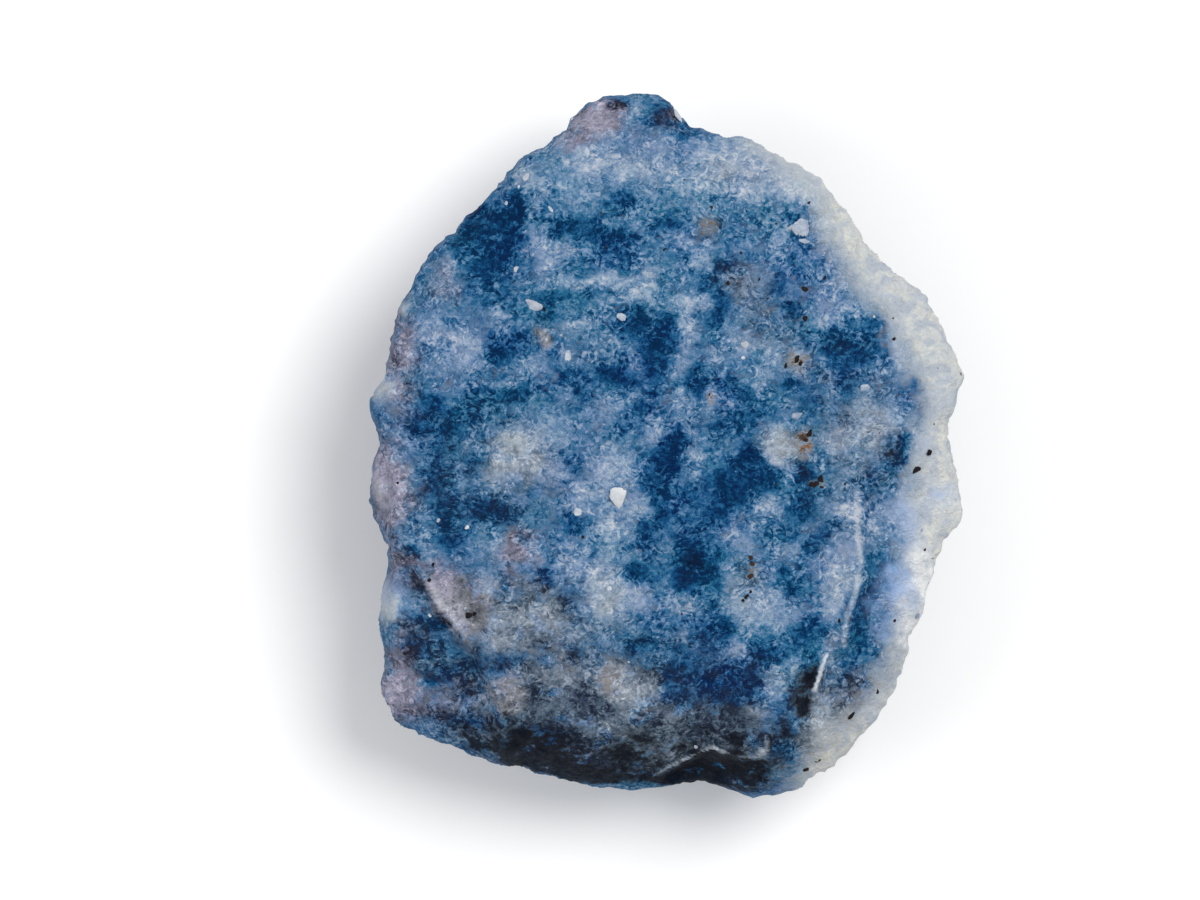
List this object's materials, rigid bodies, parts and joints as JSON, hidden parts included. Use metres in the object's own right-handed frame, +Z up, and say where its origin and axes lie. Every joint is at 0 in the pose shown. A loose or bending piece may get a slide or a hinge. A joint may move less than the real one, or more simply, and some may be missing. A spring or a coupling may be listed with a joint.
{
  "type": "rough blue spot jasper",
  "caption": "Rough chip of blue spot jasper: a flat broken face mottled navy, mid blue and white, a thin pale right edge and a broken lower ledge.",
  "frame": {"origin": "on the surface that the stone rests on, under the middle of its outline", "axes": "+Z up out of the broad broken face, +Y along the stone to its narrow end, +X to the side with the thin pale edge"},
  "size_m": [0.0319, 0.0378, 0.0125],
  "materials": {
    "stone": "broken, sugary and dull, mottled navy, mid blue, lavender grey and white, with small black and rust specks"
  },
  "bodies": {
    "root": {"stone": "stone"}
  },
  "joints": []
}
